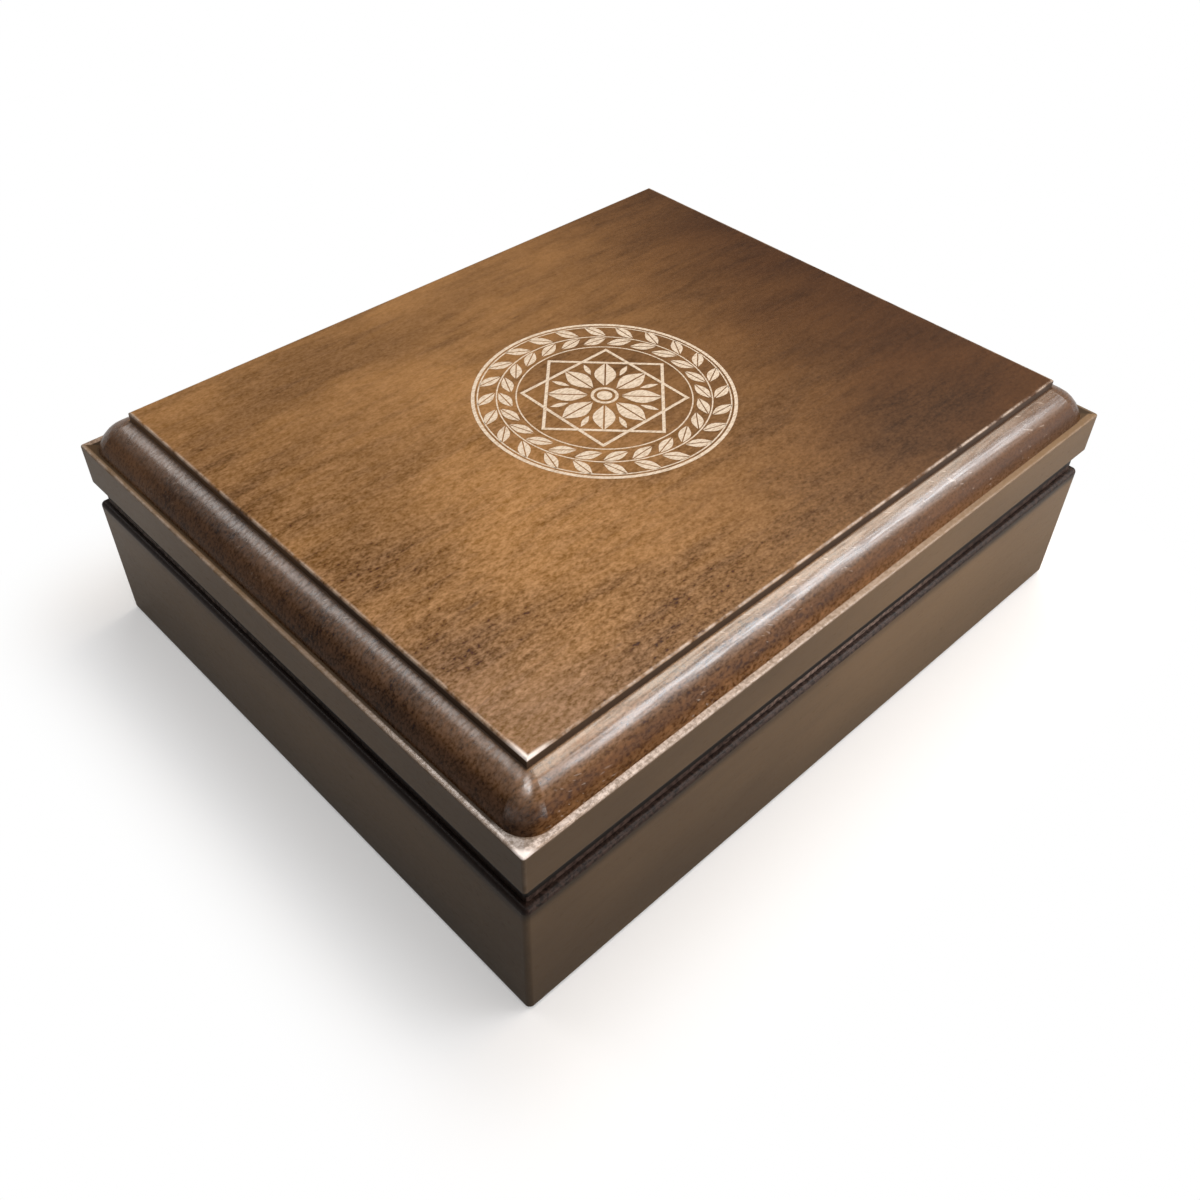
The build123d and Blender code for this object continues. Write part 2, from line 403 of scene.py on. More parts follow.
def panel_stain_and_shade(tree, place, axis, moulding):
    """Walnut stain, darker at the right partly by stain and partly by painted shade, a little dimmer
    at the far left, greyer and cooler at the near corner by a painted haze of reflection.
    """
    inward = maths(tree, "ADD", axis["X"], axis["Y"])
    back = drifting(tree, place, inward, 40 * MM, 40 * MM)
    fleck = times(tree, ramp(tree, back, -150 * MM, 100 * MM, 0.72, 0.20),
                  maths(tree, "ADD", 1.0, times(tree, moulding, 0.3)))
    figure = use(tree, WOOD_FIGURE, Vector=place, Light=(0.378, 0.197, 0.070, 1.0),
                 Dark=(0.084, 0.039, 0.014, 1.0), Pore=(0.040, 0.018, 0.009, 1.0), Cloud=0.44,
                 Streak=0.21, Fleck=fleck, Pores=0.20, Smudge=0.45)
    # Partly stain, partly painted shade: the field, and less the moulding, darkens towards the right
    # and back
    slant = maths(tree, "SUBTRACT", axis["X"], times(tree, axis["Y"], 0.35))
    wander = drifting(tree, place, slant, 40 * MM, 60 * MM)
    far = times(tree, ramp(tree, wander, -15 * MM, 135 * MM), less(tree, times(tree, moulding, 0.5)))
    colour = tinted(tree, far, figure["Color"], (0.245, 0.185, 0.14, 1.0))
    aside = ramp(tree, maths(tree, "SUBTRACT", axis["Y"], axis["X"]), 20 * MM, 100 * MM)
    colour = tinted(tree, aside, colour, (0.84, 0.84, 0.86, 1.0))
    # Painted haze of reflection: the field turns greyer and cooler towards the near corner
    near = times(tree, ramp(tree, inward, -120 * MM, -175 * MM), less(tree, moulding))
    return figure, tinted(tree, near, colour, (0.80, 0.86, 1.15, 1.0))


def moulding_stain_and_shade(tree, place, axis, moulding, end_grain, colour):
    """The moulding's darker stain, darker still low on the round partly by stain and partly by painted
    shade, and fine scratches.
    """
    colour = tinted(tree, moulding, colour, (0.57, 0.54, 0.58, 1.0))
    colour = tinted(tree, end_grain, colour, (0.76, 0.74, 0.80, 1.0))
    # Low on the round, partly stain and partly painted shade: darker at the front's ends and at the
    # near end of the sides, lighter at the foot
    ends = ramp(tree, size_of(tree, axis["X"]), 35 * MM, 90 * MM)
    foot = ramp(tree, axis["Z"], LEDGE + 3.4 * MM, LEDGE + 1.6 * MM)
    over_foot = blend(tree, ends, (0.80, 0.64, 0.37, 1.0), (0.62, 0.47, 0.25, 1.0))
    on_foot = blend(tree, ends, (1.35, 1.25, 1.05, 1.0), (0.82, 0.72, 0.52, 1.0))
    in_front = blend(tree, foot, over_foot, on_foot)
    backward = ramp(tree, axis["Y"], -75 * MM, 75 * MM)
    at_side = blend(tree, backward, (0.56, 0.51, 0.48, 1.0), (1.15, 1.05, 0.80, 1.0))
    low = times(tree, ramp(tree, axis["Z"], LEDGE + 6.4 * MM, LEDGE + 4.2 * MM), moulding)
    colour = tinted(tree, low, colour, blend(tree, end_grain, in_front, at_side))
    scratch = use(tree, SCUFFS, Vector=place, Turn=math.radians(35))["Mask"]
    scratch = times(tree, scratch, moulding, ramp(tree, end_grain, 0.0, 1.0, 0.7, 0.2))
    return blend(tree, scratch, colour, (0.36, 0.29, 0.24, 1.0))


def step_mask(tree, axis):
    """The upright step round the field, under its rubbed arris."""
    beside = ramp(tree, past_edge(tree, axis, FIELD_X + 0.45 * MM, FIELD_Y), 0.3 * MM, 0.05 * MM)
    return times(tree, beside, ramp(tree, axis["Z"], FIELD_TOP - 0.35 * MM, FIELD_TOP - 0.7 * MM))


def moulding_polish(tree, place, axis, normal):
    """Where the moulding shines, in streaks: high on the round, and down its turned corners too.

    It is dull along the step at the lid's two ends.
    """
    upper = ramp(tree, axis["Z"], LEDGE + 5.4 * MM, LEDGE + 7.4 * MM)
    corner = maths(tree, "ABSOLUTE", times(tree, normal["X"], normal["Y"], 8.0), clamp=True)
    lower = times(tree, ramp(tree, axis["Z"], LEDGE + 1.7 * MM, LEDGE + 4.8 * MM), corner)
    lines = noise(tree, stretched(tree, place, (0.06, 1.0, 1.0)), 0.8 * MM, 2.0, 0.6)
    streaks = ramp(tree, lines, 0.34, 0.62, 0.45, 1.0)
    on_end = maths(tree, "GREATER_THAN", size_of(tree, normal["X"]), size_of(tree, normal["Y"]))
    by_step = ramp(tree, axis["Z"], LEDGE + 8.70 * MM, LEDGE + 8.92 * MM, 0.0, 0.8)
    dulled = times(tree, on_end, by_step)
    return times(tree, maths(tree, "MAXIMUM", upper, lower), streaks, less(tree, dulled))


def panel_finish():
    """Walnut stain on the moulded board of the lid, with painted shade and highlights: a satin field,
    and a darker, glossier moulding.
    """
    material, tree, shader = surface("lid_panel_walnut", Specular_IOR_Level=0.15,
                                     Coat_Roughness=0.24, Coat_IOR=2.0)
    place = object_place(tree)
    axis = split(tree, place)
    normal = object_normal(tree)
    past = past_edge(tree, axis, FIELD_X, FIELD_Y)
    moulding = ramp(tree, past, 0.2 * MM, 0.8 * MM)
    end_grain = ramp(tree, size_of(tree, normal["X"]), 0.15, 0.75)
    figure, colour = panel_stain_and_shade(tree, place, axis, moulding)
    colour = moulding_stain_and_shade(tree, place, axis, moulding, end_grain, colour)

    # The step is painted dark, partly as stain gathered in the corner and partly as shade; lighter on
    # the end grain towards the back
    in_step = step_mask(tree, axis)
    lighter = times(tree, end_grain, ramp(tree, axis["Y"], -30 * MM, 45 * MM, 0.0, 0.75))
    glaze_and_shade = times(tree, in_step, maths(tree, "SUBTRACT", 0.95, lighter))
    colour = blend(tree, glaze_and_shade, colour, (0.055, 0.032, 0.019, 1.0))
    # The field's arris is painted paler, partly as wear and partly as a painted highlight
    wear_and_sheen = use(tree, ARRIS_WEAR_AND_SHEEN, Vector=place, Half_X=FIELD_X, Half_Y=FIELD_Y, Level=FIELD_TOP,
               Foot=FIELD_TOP, Top=FIELD_TOP, Reach=0.9 * MM)["Mask"]
    colour = blend(tree, times(tree, wear_and_sheen, 0.6), colour, (0.46, 0.33, 0.22, 1.0))
    glint = times(tree, near_corner(tree, axis, FIELD_NEAR, 9 * MM, 1.5 * MM),
                  ramp(tree, past, -1.3 * MM, -0.5 * MM),
                  ramp(tree, axis["Z"], FIELD_TOP - 0.6 * MM, FIELD_TOP - 0.3 * MM))
    colour = blend(tree, glint, colour, (0.86, 0.78, 0.73, 1.0))
    join(tree, colour, shader["Base Color"])

    polish = times(tree, moulding_polish(tree, place, axis, normal), moulding, less(tree, in_step))
    join(tree, maths(tree, "MAXIMUM", polish, times(tree, wear_and_sheen, 0.8)), shader["Coat Weight"])
    rough = maths(tree, "ADD", times(tree, moulding, -0.10), 0.38)
    join(tree, maths(tree, "ADD", rough, figure["Uneven"]), shader["Roughness"])
    join(tree, bump(tree, figure["Height"], 0.02 * MM, 0.5), shader["Normal"])
    return material


# The finishes of the rails and boards

def board_stain_and_shade(name, turn, light, dark, **plain):
    """Dark satin stain with its grain along the board, and painted shade towards the near corner."""
    material, tree, shader = surface(name, Specular_IOR_Level=0.15, **plain)
    place = object_place(tree)
    figure = use(tree, WOOD_FIGURE, Vector=stretched(tree, place, (1.0, 1.0, 1.0), turn),
                 Light=light, Dark=dark, Pore=(0.035, 0.025, 0.018, 1.0),
                 Cloud=0.55, Streak=0.20, Fleck=0.035, Pores=0.12)
    join(tree, maths(tree, "ADD", figure["Uneven"], 0.34), shader["Roughness"])
    join(tree, bump(tree, figure["Height"], 0.04 * MM, 0.2), shader["Normal"])
    axis = split(tree, place)
    # Painted shade: the boards darken towards the near corner
    along = drifting(tree, place, axis["Y" if turn else "X"], 30 * MM, 30 * MM)
    near_shade = ramp(tree, along, 60 * MM, -100 * MM)
    colour = tinted(tree, near_shade, figure["Color"], (0.58, 0.58, 0.59, 1.0))
    return material, tree, shader, place, axis, colour


def rim_finish(name, turn, ledge_wear_and_sheen, lip_width):
    """The lid's rails: a speckled, polished ledge on top, painted paler partly as wear and partly as
    sheen, and painted black shade in the foot's chamfer.
    """
    material, tree, shader, place, axis, colour = board_stain_and_shade(
        name, turn, RIM_LIGHT, RIM_DARK, Coat_Roughness=0.24, Coat_IOR=2.0)
    if turn:
        outward = "X"
        lip_edge = LID_X - lip_width
        fading = ramp(tree, axis["Y"], -90 * MM, 10 * MM, 0.8, 0.12)
        foot_shade = ramp(tree, axis["Y"], -20 * MM, 60 * MM, 1.0, 0.1)
        wear_and_sheen_share = ramp(tree, axis["Y"], -20 * MM, 50 * MM, 0.3, 0.85)
    else:
        outward = "Y"
        lip_edge = LID_Y - lip_width
        fading = 1.0
        foot_shade = ramp(tree, axis["X"], -50 * MM, 70 * MM, 1.0, 0.05)
        wear_and_sheen_share = 0.3

    level = ramp(tree, axis["Z"], LEDGE - 0.4 * MM, LEDGE - 0.1 * MM)
    along_lip = ramp(tree, size_of(tree, axis[outward]), lip_edge - 0.2 * MM, lip_edge + 0.2 * MM)
    lipped = maths(tree, "MAXIMUM", along_lip,
                   near_corner(tree, axis, LID_NEAR, 14 * MM, 9 * MM, 0.6))
    # Painted shade: the inner part of the ledge, beside the moulding, is darker
    inner_shade = times(tree, level, less(tree, lipped))
    colour = tinted(tree, inner_shade, colour, (0.40, 0.38, 0.36, 1.0))
    # The ledge is painted paler, partly as wear and partly as painted sheen, fading to the right and
    # towards the back of the side rails; the same mask sets the coat
    speckle = ramp(tree, noise(tree, place, 0.8 * MM, 3.0, 0.7), 0.36, 0.64, 0.30, 1.0)
    polish = times(tree, ramp(tree, axis["X"], -110 * MM, 110 * MM, 1.0, 0.1), fading)
    shine = times(tree, level, lipped, speckle, polish)
    colour = blend(tree, shine, colour, ledge_wear_and_sheen)
    join(tree, shine, shader["Coat Weight"])

    # Painted shade: the foot's chamfer is near black, fading towards the right and the back
    outer = ramp(tree, past_edge(tree, axis, LID_X, LID_Y), -1.3 * MM, -1.0 * MM)
    foot = ramp(tree, axis["Z"], LID_FOOT + 0.80 * MM, LID_FOOT + 0.62 * MM)
    colour = blend(tree, times(tree, foot, outer, foot_shade), colour, (0.007, 0.004, 0.003, 1.0))
    # The rim's arris is painted paler, partly as wear and partly as a painted highlight
    wear_and_sheen = use(tree, ARRIS_WEAR_AND_SHEEN, Vector=place, Half_X=LID_X, Half_Y=LID_Y, Level=LEDGE,
               Foot=LID_FOOT + 1.0 * MM, Top=LEDGE, Reach=0.9 * MM)["Mask"]
    colour = blend(tree, times(tree, wear_and_sheen, wear_and_sheen_share), colour, (0.36, 0.28, 0.22, 1.0))
    glint = times(tree, level, near_corner(tree, axis, LID_NEAR, 5 * MM, 2 * MM))
    colour = blend(tree, glint, colour, (0.72, 0.65, 0.62, 1.0))
    join(tree, colour, shader["Base Color"])
    return material


def side_finish(name, turn, shoulder, neck, paler_neck):
    """The base's boards: the reveal painted dark and speckled as shade, a painted black shadow at its
    top, painted shade towards the foot, and rubbed at the foot.
    """
    material, tree, shader, place, axis, colour = board_stain_and_shade(name, turn, SIDE_LIGHT, SIDE_DARK)
    # Where the painted shade of the reveal is lighter: towards the far end of the side boards and in
    # the middle of the front and back; deepest at the right end of the front and back
    if turn:
        paler = ramp(tree, drifting(tree, place, axis["Y"], 15 * MM, 25 * MM), -35 * MM, 60 * MM)
        right = 0.0
    else:
        off_middle = maths(tree, "SUBTRACT", axis["X"], 12 * MM)
        middle = drifting(tree, place, off_middle, 15 * MM, 25 * MM)
        paler = ramp(tree, size_of(tree, middle), 58 * MM, 12 * MM)
        right = ramp(tree, axis["X"], 35 * MM, 85 * MM)

    # Painted shade under the shoulder
    outer = ramp(tree, past_edge(tree, axis, LID_X, LID_Y), -3.0 * MM, -2.3 * MM)
    edge = drifting(tree, place, axis["Z"], 3 * MM, 0.8 * MM)
    under_shoulder = ramp(tree, edge, SHOULDER - 4.5 * MM, SHOULDER - 1.0 * MM)
    shade = blend(tree, paler, (0.33, 0.32, 0.31, 1.0), (0.62, 0.60, 0.57, 1.0))
    shade = blend(tree, right, shade, (0.13, 0.13, 0.12, 1.0))
    colour = tinted(tree, times(tree, outer, under_shoulder), colour, shade)

    # The shoulder and the neck are painted dark and speckled as shade, lighter where paler holds
    speckle = ramp(tree, noise(tree, place, 1.1 * MM, 3.0, 0.7), 0.36, 0.64)
    speckled = blend(tree, speckle, (0.018, 0.011, 0.009, 1.0), shoulder)
    speckled = tinted(tree, less(tree, paler), speckled, (0.66, 0.60, 0.56, 1.0))
    over_edge = ramp(tree, axis["Z"], SHOULDER - 1.5 * MM, SHOULDER - 1.1 * MM)
    colour = blend(tree, times(tree, outer, over_edge), colour, speckled)
    on_neck = ramp(tree, axis["Z"], SHOULDER + 0.05 * MM, SHOULDER + 0.2 * MM)
    in_spots = ramp(tree, speckle, 0.0, 1.0, 0.15, 1.0)
    colour = blend(tree, times(tree, on_neck, outer, in_spots), colour,
                   blend(tree, paler, neck, paler_neck))
    # Painted shadow: the neck's top, under the lid, is near black
    under_lid = ramp(tree, axis["Z"], SHOULDER + 1.7 * MM, SHOULDER + 1.85 * MM)
    colour = blend(tree, times(tree, outer, under_lid), colour, (0.010, 0.007, 0.005, 1.0))

    # Painted shade: the boards darken towards the foot
    lower = ramp(tree, edge, SHOULDER - 5 * MM, BASE_FOOT)
    colour = tinted(tree, lower, colour, (0.72, 0.72, 0.72, 1.0))
    wear_and_sheen = use(tree, ARRIS_WEAR_AND_SHEEN, Vector=place, Half_X=LID_X, Half_Y=LID_Y, Level=BASE_FOOT,
               Foot=BASE_FOOT, Top=SHOULDER - 2.0 * MM, Reach=0.8 * MM)["Mask"]
    colour = blend(tree, times(tree, wear_and_sheen, 0.3), colour, (0.30, 0.22, 0.16, 1.0))
    join(tree, colour, shader["Base Color"])
    return material


# The other finishes

def ply_finish():
    """Thin stained plywood for the bottom of the base."""
    material, tree, shader = surface("bottom_ply_stain", Specular_IOR_Level=0.3)
    figure = use(tree, WOOD_FIGURE, Vector=object_place(tree), Light=(0.26, 0.165, 0.095, 1.0),
                 Dark=(0.12, 0.070, 0.040, 1.0), Pore=(0.05, 0.03, 0.02, 1.0),
                 Cloud=0.4, Streak=0.5, Fleck=0.10, Pores=0.5)
    join(tree, figure["Color"], shader["Base Color"])
    join(tree, maths(tree, "ADD", figure["Uneven"], 0.5), shader["Roughness"])
    join(tree, bump(tree, figure["Height"], 0.08 * MM, 0.5), shader["Normal"])
    return material


def brass_finish():
    """Satin brass with fine brush lines along the hinge and a little tarnish."""
    material, tree, shader = surface("hinge_satin_brass", Metallic=1.0)
    place = object_place(tree)
    lines = noise(tree, stretched(tree, place, (0.05, 1.0, 1.0)), 0.12 * MM, 2.0, 0.6)
    tarnish = ramp(tree, noise(tree, place, 4 * MM, 4.0, 0.65), 0.45, 0.70)
    colour = blend(tree, tarnish, (0.78, 0.57, 0.25, 1.0), (0.50, 0.34, 0.15, 1.0))
    join(tree, colour, shader["Base Color"])
    rough = maths(tree, "ADD", times(tree, lines, 0.2), ramp(tree, tarnish, 0.0, 1.0, 0.18, 0.34))
    join(tree, rough, shader["Roughness"])
    join(tree, bump(tree, lines, 0.01 * MM, 0.4), shader["Normal"])
    return material


def inlay_finish():
    """Pale filled line work, rubbed a little into the grain."""
    material, tree, shader = surface("lid_inlay_pale", Specular_IOR_Level=0.3)
    place = object_place(tree)
    grain = noise(tree, stretched(tree, place, (0.35, 1.0, 1.0)), 0.6 * MM, 3.0, 0.65)
    colour = blend(tree, ramp(tree, grain, 0.40, 0.66), (0.64, 0.55, 0.44, 1.0),
                   (0.45, 0.35, 0.25, 1.0))
    join(tree, colour, shader["Base Color"])
    join(tree, ramp(tree, grain, 0.3, 0.7, 0.5, 0.7), shader["Roughness"])
    join(tree, bump(tree, grain, 0.02 * MM, 0.5), shader["Normal"])
    return material


def cloth_finish(name, dark, light, fibre, depth):
    """Velvet or felt, with its nap and a soft sheen at the edges."""
    material, tree, shader = surface(name, Sheen_Weight=0.35, Sheen_Roughness=0.4,
                                     Specular_IOR_Level=0.1, Roughness=0.95)
    nap = use(tree, PILE, Vector=object_place(tree), Dark=dark, Light=light, Fibre=fibre)
    join(tree, nap["Color"], shader["Base Color"])
    join(tree, bump(tree, nap["Height"], depth, 0.7), shader["Normal"])
    return material


def dress(finish, *names):
    """Gives the material slots of the frame's pieces a finish."""
    for name in names:
        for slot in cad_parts[name].material_slots:
            slot.material = finish


# Small helpers for meshes

def piece(name, bm, finish, body):
    """A mesh made an object of the box, on the body that it moves with."""
    bmesh.ops.recalc_face_normals(bm, faces=bm.faces)
    mesh = bpy.data.meshes.new(name)
    bm.to_mesh(mesh)
    bm.free()
    mesh.materials.append(finish)
    made = bpy.data.objects.new(name, mesh)
    bpy.context.scene.collection.objects.link(made)
    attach(made, body)
    return made


def move(bm, verts, matrix):
    """Places points by a matrix."""
    bmesh.ops.transform(bm, matrix=matrix, verts=verts)


def turn_z(angle):
    """A turn about Z."""
    return Matrix.Rotation(angle, 4, "Z")


def shift(x, y, z=0.0):
    """A straight move."""
    return Matrix.Translation((x, y, z))


def block(size):
    """A block of this size about the origin."""
    bm = bmesh.new()
    bmesh.ops.create_cube(bm, size=1.0)
    move(bm, bm.verts, Matrix.Diagonal((size.x, size.y, size.z, 1.0)))
    return bm


def round_edges(bm, edges, radius, segments):
    """Rounds these edges."""
    bmesh.ops.bevel(bm, geom=edges, offset=radius, offset_type="OFFSET", segments=segments,
                    profile=0.5, affect="EDGES", material=-1)


# The inlay on the lid

def flat_ring(bm, outer, inner, segments=96):
    """A level ring about the origin."""
    edges = []
    for radius in (outer, inner):
        made = bmesh.ops.create_circle(bm, segments=segments, radius=radius)["verts"]
        edges += list({edge for vert in made for edge in vert.link_edges})
    bmesh.ops.bridge_loops(bm, edges=edges)


def flat_leaf(bm, length, width, rib, matrix):
    """A level pointed leaf along X, split along its middle by a rib's width."""
    for side in (1, -1):
        half = bmesh.new()
        verts = bmesh.ops.create_circle(half, cap_ends=True, segments=24, radius=1.0)["verts"]
        for vert in verts:
            vert.co.y *= 1.0 - vert.co.x * vert.co.x * 0.85
        move(half, verts, Matrix.Diagonal((length / 2, width / 2, 1.0, 1.0)))
        bmesh.ops.bisect_plane(half, geom=half.verts[:] + half.edges[:] + half.faces[:],
                               plane_co=(0, side * rib / 2, 0), plane_no=(0, -side, 0),
                               clear_outer=True)
        move(half, half.verts, shift(length / 2, 0))
        move(half, half.verts, matrix)
        part = bpy.data.meshes.new("half_leaf")
        half.to_mesh(part)
        half.free()
        bm.from_mesh(part)
        bpy.data.meshes.remove(part)


def wreath(bm, radius, pairs=24):
    """A closed ring of leaves in pairs, leaning out from a thin stem."""
    flat_ring(bm, radius + FINE_LINE / 2, radius - FINE_LINE / 2)
    for index in range(pairs):
        for lean in (1, -1):
            root = turn_z(math.tau * index / pairs) @ shift(radius - lean * 0.5 * MM, 0)
            flat_leaf(bm, 8.2 * MM, 3.5 * MM, 0.35 * MM, root @ turn_z(math.radians(90 + lean * 33)))


def star(bm, radius, width):
    """Two square frames laid across each other, one a little prouder than the other."""
    for index in range(2):
        before = len(bm.verts)
        flat_ring(bm, radius, radius - width * math.sqrt(2.0), 4)
        frame_verts = bm.verts[before:]
        move(bm, frame_verts, turn_z(math.radians(45 * index)) @ shift(0, 0, 0.01 * MM * index))


def rosette(bm, length):
    """Eight split petals round a boss, with a small leaf between each two."""
    for index in range(8):
        flat_leaf(bm, length, 6.4 * MM, 0.5 * MM,
                  turn_z(math.radians(45 * index)) @ shift(4.6 * MM, 0))
        flat_leaf(bm, 5.6 * MM, 1.6 * MM, 0.0,
                  turn_z(math.radians(45 * index + 22.5)) @ shift(11.0 * MM, 0))
    flat_ring(bm, 4.0 * MM, 3.1 * MM, 48)
    bmesh.ops.create_circle(bm, cap_ends=True, segments=32, radius=2.2 * MM)


def make_inlay():
    """The round ornament, as thin plates let into the lid's field."""
    bm = bmesh.new()
    flat_ring(bm, INLAY_RADIUS, INLAY_RADIUS - 1.0 * MM)
    flat_ring(bm, INLAY_RADIUS - 1.6 * MM, INLAY_RADIUS - 2.0 * MM)
    wreath(bm, WREATH_RADIUS)
    flat_ring(bm, INNER_RING_RADIUS, INNER_RING_RADIUS - FINE_LINE)
    star(bm, STAR_RADIUS, STAR_WIDTH)
    rosette(bm, PETAL_LENGTH)
    raised = bmesh.ops.extrude_face_region(bm, geom=bm.faces[:], use_keep_orig=True)
    tops = [item for item in raised["geom"] if isinstance(item, bmesh.types.BMVert)]
    move(bm, tops, shift(0, 0, INLAY_HEIGHT + INLAY_ROOT))
    move(bm, bm.verts, shift(0, 0, FIELD_TOP - INLAY_ROOT))
    return piece("lid_inlay", bm, inlay_finish(), "lid")


# The linings and the felt

def make_pad(name, node, body, finish, face_up):
    """Velvet over thin padded card: flat behind, crowned a little, rolled at its edges."""
    low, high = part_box(node)
    size = high - low
    bm = block(size)
    face_edges = [edge for edge in bm.edges if all(vert.co.z * face_up > 0 for vert in edge.verts)]
    round_edges(bm, face_edges, PAD_EDGE, 4)
    for axis, length in ((0, size.x), (1, size.y)):
        count = round(length / PAD_SPACING)
        normal = Vector((0.0, 0.0, 0.0))
        normal[axis] = 1.0
        for index in range(1, count):
            at = normal * (length * (index / count - 0.5))
            bmesh.ops.bisect_plane(bm, geom=bm.verts[:] + bm.edges[:] + bm.faces[:],
                                   plane_co=at, plane_no=normal)
    for vert in bm.verts:
        if vert.co.z * face_up > 0:
            across = max(abs(vert.co.x) / size.x, abs(vert.co.y) / size.y) * 2.0
            vert.co.z -= face_up * PAD_SINK * across ** 6
    move(bm, bm.verts, Matrix.Translation((low + high) / 2))
    made = piece(name, bm, finish, body)
    for face in made.data.polygons:
        face.use_smooth = True
    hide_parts(node)


def make_felt(finish):
    """A cut sheet of felt under the base."""
    low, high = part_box("underside_felt")
    size = high - low
    bm = block(size)
    uprights = [edge for edge in bm.edges if edge.verts[0].co.z * edge.verts[1].co.z < 0]
    round_edges(bm, uprights, FELT_CORNER, 6)
    move(bm, bm.verts, Matrix.Translation((low + high) / 2))
    made = piece("felt_sheet", bm, finish, "base")
    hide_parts("underside_felt")


# The studio

def facing(at, aim):
    """The place and turn of a camera or lamp that looks from one point to another."""
    look = (Vector(aim) - Vector(at)).to_track_quat("-Z", "Y").to_matrix().to_4x4()
    return Matrix.Translation(at) @ look


def make_camera():
    """The camera, at the photograph's viewing angle."""
    camera = bpy.data.objects.new("camera", bpy.data.cameras.new("camera"))
    bpy.context.scene.collection.objects.link(camera)
    camera.data.lens = FOCAL_LENGTH
    camera.data.clip_start = 0.01
    camera.matrix_world = facing(CAMERA_AT, CAMERA_AIM) @ turn_z(CAMERA_ROLL)
    bpy.context.scene.camera = camera


def soft_lamp(name, at, aim, width, height, watts, tint):
    """A broad rectangular lamp."""
    light = bpy.data.lights.new(name, "AREA")
    light.shape = "RECTANGLE"
    light.size = width
    light.size_y = height
    light.energy = watts
    light.color = tint
    lamp = bpy.data.objects.new(name, light)
    bpy.context.scene.collection.objects.link(lamp)
    lamp.matrix_world = facing(at, aim)


def seen_directly(tree, share):
    """1 for what the camera sees straight, and this share for reflections and through glass."""
    path = add(tree, "LightPath").outputs
    turned = maths(tree, "MAXIMUM", path["Is Glossy Ray"], path["Is Transmission Ray"])
    return maths(tree, "MAXIMUM", path["Is Camera Ray"], times(tree, turned, share))


def make_world():
    """Even grey light all round, before a backdrop that shows white, under a dim ceiling."""
    world = bpy.data.worlds.new("studio")
    bpy.context.scene.world = world
    world.use_nodes = True
    tree = world.node_tree
    tree.nodes.clear()
    fill = add(tree, "Background", {"Color": (1.0, 1.0, 1.0, 1.0), "Strength": WORLD_LEVEL})
    white = add(tree, "Background", {"Color": (1.0, 1.0, 1.0, 1.0), "Strength": 1.0})
    rise = split(tree, add(tree, "TexCoord").outputs["Generated"])["Z"]
    share = ramp(tree, rise, CEILING_RISE, BACKDROP_RISE, CEILING_SHARE, BACKDROP_SHARE)
    mixed = add(tree, "MixShader", {0: seen_directly(tree, share), 1: fill.outputs[0],
                                    2: white.outputs[0]})
    tree.links.new(mixed.outputs[0], add(tree, "OutputWorld").inputs["Surface"])


def make_floor():
    """A pale floor that keeps the shadow near the box and turns to plain white away from it."""
    bm = bmesh.new()
    bmesh.ops.create_grid(bm, x_segments=1, y_segments=1, size=FLOOR_REACH)
    mesh = bpy.data.meshes.new("floor")
    bm.to_mesh(mesh)
    bm.free()
    material, tree, shader = surface("floor_white", Roughness=0.9, Specular_IOR_Level=0.0)
    straight = add(tree, "LightPath").outputs["Is Camera Ray"]
    join(tree, blend(tree, straight, (0.30, 0.29, 0.28, 1.0), (0.94, 0.94, 0.94, 1.0)),
         shader["Base Color"])
    axis = split(tree, object_place(tree))
    beyond = []
    for name, half in (("X", LID_X), ("Y", LID_Y)):
        past = maths(tree, "SUBTRACT", size_of(tree, axis[name]), half)
        beyond.append(maths(tree, "MAXIMUM", past, 0.0))
    away = hypotenuse(tree, *beyond)
    plain = times(tree, ramp(tree, away, 0.0, SHADOW_REACH, 0.3, 1.0),
                  seen_directly(tree, BACKDROP_SHARE))
    white = add(tree, "Emission", {"Strength": 1.0})
    mixed = add(tree, "MixShader", {0: plain, 1: tree.nodes["Principled BSDF"].outputs[0],
                                    2: white.outputs[0]})
    tree.links.new(mixed.outputs[0], tree.nodes["Material Output"].inputs["Surface"])
    mesh.materials.append(material)
    floor = bpy.data.objects.new("floor", mesh)
    bpy.context.scene.collection.objects.link(floor)


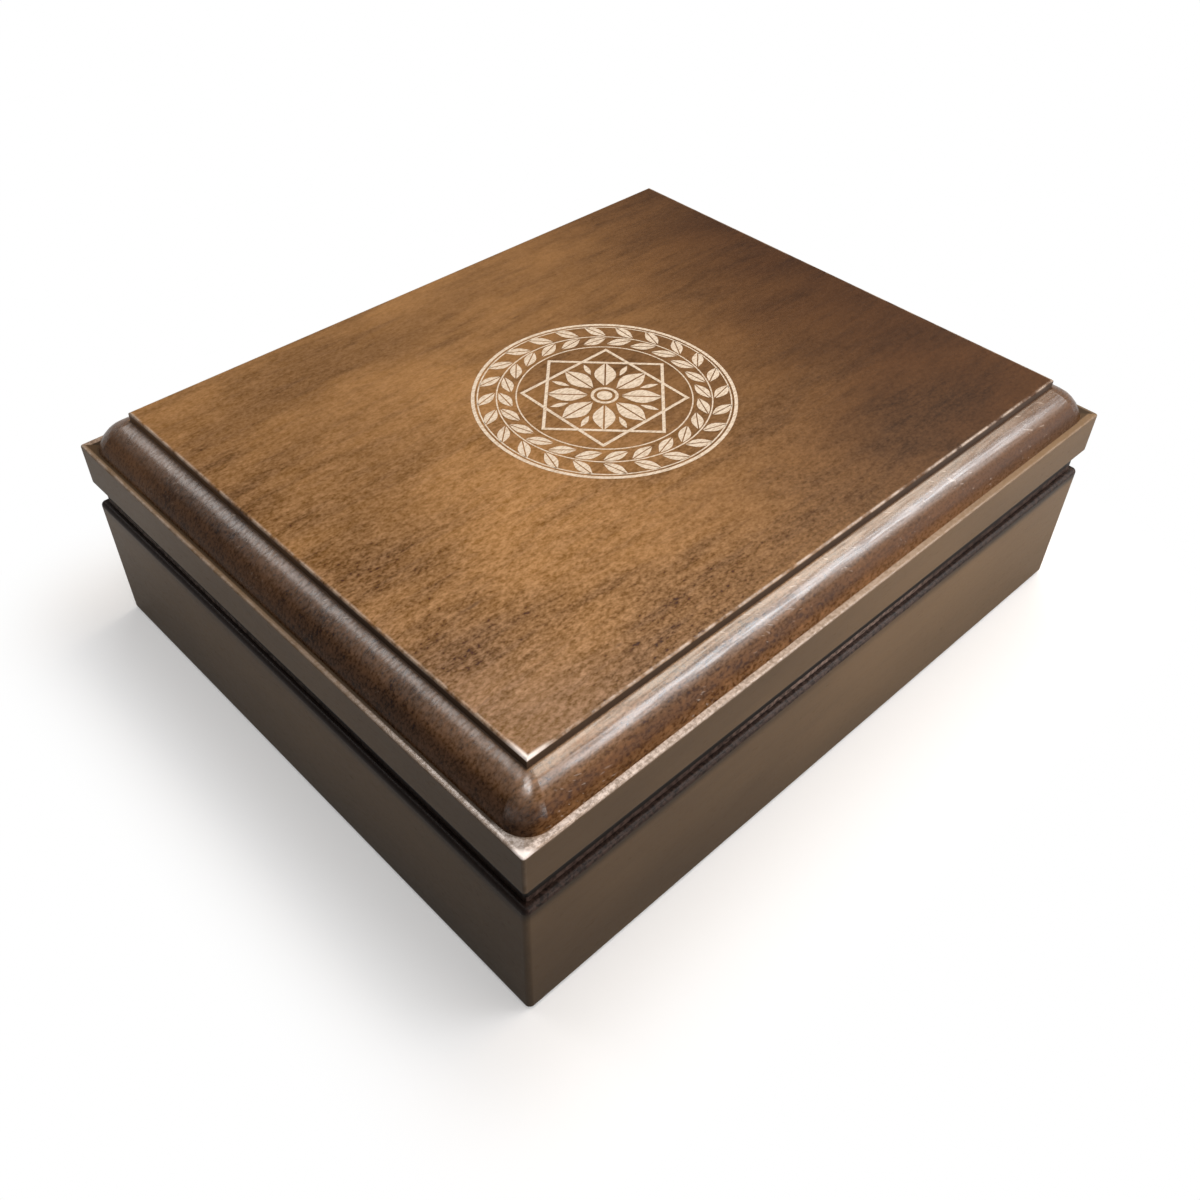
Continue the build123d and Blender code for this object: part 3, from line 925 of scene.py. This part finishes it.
def make_studio():
    """The camera, the world, the lamps and the floor."""
    make_camera()
    make_world()
    middle = (0.0, 0.0, 0.07)
    near = (-0.11, -0.09, 0.07)
    front = (0.0, -0.09, 0.07)
    white = (1.0, 0.97, 0.95)
    soft_lamp("ceiling_strip", (0.28, 0.22, 0.78), middle, 0.50, 0.20, 1.4, white)
    soft_lamp("ceiling_panel", (0.44, -0.05, 0.78), front, 0.60, 0.60, 4.9, (1.0, 0.85, 0.70))
    soft_lamp("left_strip", (-0.31, 0.50, 0.78), (-0.31, 0.0, 0.07), 0.20, 0.80, 1.15,
              (1.0, 0.95, 0.92))
    soft_lamp("window", (0.57, -0.48, 0.65), (0.57, -0.09, 0.07), 0.70, 0.24, 3.6,
              (0.95, 0.97, 1.0))
    soft_lamp("overhead", (-0.19, -0.18, 0.67), near, 0.18, 0.24, 0.95, white)
    soft_lamp("front_fill", (0.48, -0.80, 0.30), front, 1.00, 0.50, 4.7, (1.0, 0.90, 0.84))
    make_floor()
    bpy.context.scene.view_settings.view_transform = "Standard"


WOOD_FIGURE = make_wood_figure()
ARRIS_WEAR_AND_SHEEN = make_arris_wear_and_sheen()
SCUFFS = make_scuffs()
PILE = make_pile()

dress(panel_finish(), "lid_top_panel")
# The ledge colours are paler, partly as wear and partly as painted sheen
dress(rim_finish("rim_stain_and_shade_x", ALONG_X, (0.37, 0.26, 0.19, 1.0), 2.2 * MM),
      "lid_front_rail", "lid_back_rail")
dress(rim_finish("rim_stain_and_shade_y", ALONG_Y, (0.42, 0.35, 0.31, 1.0), 1.0 * MM),
      "lid_left_rail", "lid_right_rail")
# The reveal colours are painted shade: shoulder, neck and the paler neck, darker on the side boards
dress(side_finish("side_stain_and_shade_x", ALONG_X, (0.075, 0.049, 0.040, 1.0), (0.105, 0.070, 0.058, 1.0),
                  (0.36, 0.26, 0.215, 1.0)),
      "base_front_board", "base_back_board")
dress(side_finish("side_stain_and_shade_y", ALONG_Y, (0.028, 0.018, 0.014, 1.0), (0.028, 0.018, 0.014, 1.0),
                  (0.22, 0.17, 0.145, 1.0)),
      "base_left_board", "base_right_board")
dress(ply_finish(), "base_bottom_panel")
dress(brass_finish(), *[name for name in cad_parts
                        if name.startswith("hinge_") or name.endswith("_screws")])

velvet = cloth_finish("black_velvet", (0.006, 0.006, 0.007, 1.0), (0.022, 0.022, 0.026, 1.0),
                      0.45 * MM, 0.15 * MM)
felt = cloth_finish("black_felt", (0.012, 0.012, 0.012, 1.0), (0.045, 0.045, 0.045, 1.0),
                    0.9 * MM, 0.3 * MM)
make_inlay()
make_pad("floor_pad", "base_floor_lining", "base", velvet, 1)
make_pad("lid_pad", "lid_lining_pad", "lid", velvet, -1)
make_felt(felt)
make_studio()
